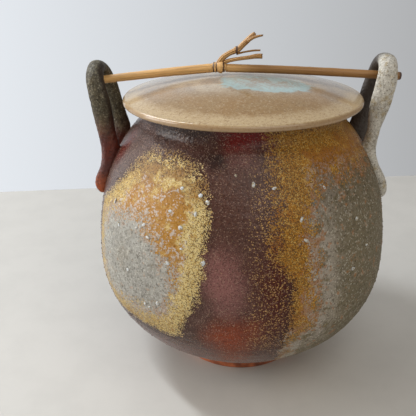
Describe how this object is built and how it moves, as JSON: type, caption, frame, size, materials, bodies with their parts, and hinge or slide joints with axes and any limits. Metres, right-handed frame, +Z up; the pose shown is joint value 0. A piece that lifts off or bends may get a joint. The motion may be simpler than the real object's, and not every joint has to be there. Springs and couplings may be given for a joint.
{
  "type": "lidded stoneware bean pot",
  "caption": "Round wood-fired stoneware pot with a short neck, shallow domed lid, strap loop lugs and a bamboo twig through the lugs that holds the lid down.",
  "frame": {"origin": "centre of the foot's standing ring, on the surface the pot stands on", "axes": "+Z up the pot's axis, +X towards the right lug along the twig, +Y to the back"},
  "size_m": [0.1911, 0.1904, 0.2154],
  "materials": {
    "ash_glazed_stoneware": "satin natural ash glaze, speckled",
    "bare_stoneware": "bare fired clay, matte",
    "dark_ash_stoneware": "grey-green ash over glossy oxblood",
    "pale_ash_stoneware": "pale grey ash, pitted",
    "honey_ash_glaze": "glossy honey-grey ash glaze",
    "bamboo": "dried bamboo, satin",
    "bamboo_node": "dried bamboo node, dark ring"
  },
  "bodies": {
    "pot": {"pot_body": "ash_glazed_stoneware", "foot_ring": "bare_stoneware", "lug_left": "dark_ash_stoneware", "lug_right": "pale_ash_stoneware"},
    "lid": {"lid_disc": "honey_ash_glaze", "lid_flange": "bare_stoneware"},
    "twig": {"twig_left": "bamboo", "twig_node": "bamboo_node", "twig_right": "bamboo", "branch_upper": "bamboo", "branch_lower": "bamboo", "branch_thin": "bamboo"}
  },
  "joints": [
    {"name": "lid_turn", "type": "hinge", "parent": "pot", "child": "lid", "pos_m": [0, 0, 0.1746], "axis": [0, 0, 1], "continuous": true},
    {"name": "twig_slide", "type": "slide", "parent": "pot", "child": "twig", "axis": [1, 0, 0], "range_m": [-0.01, 0.014]}
  ]
}
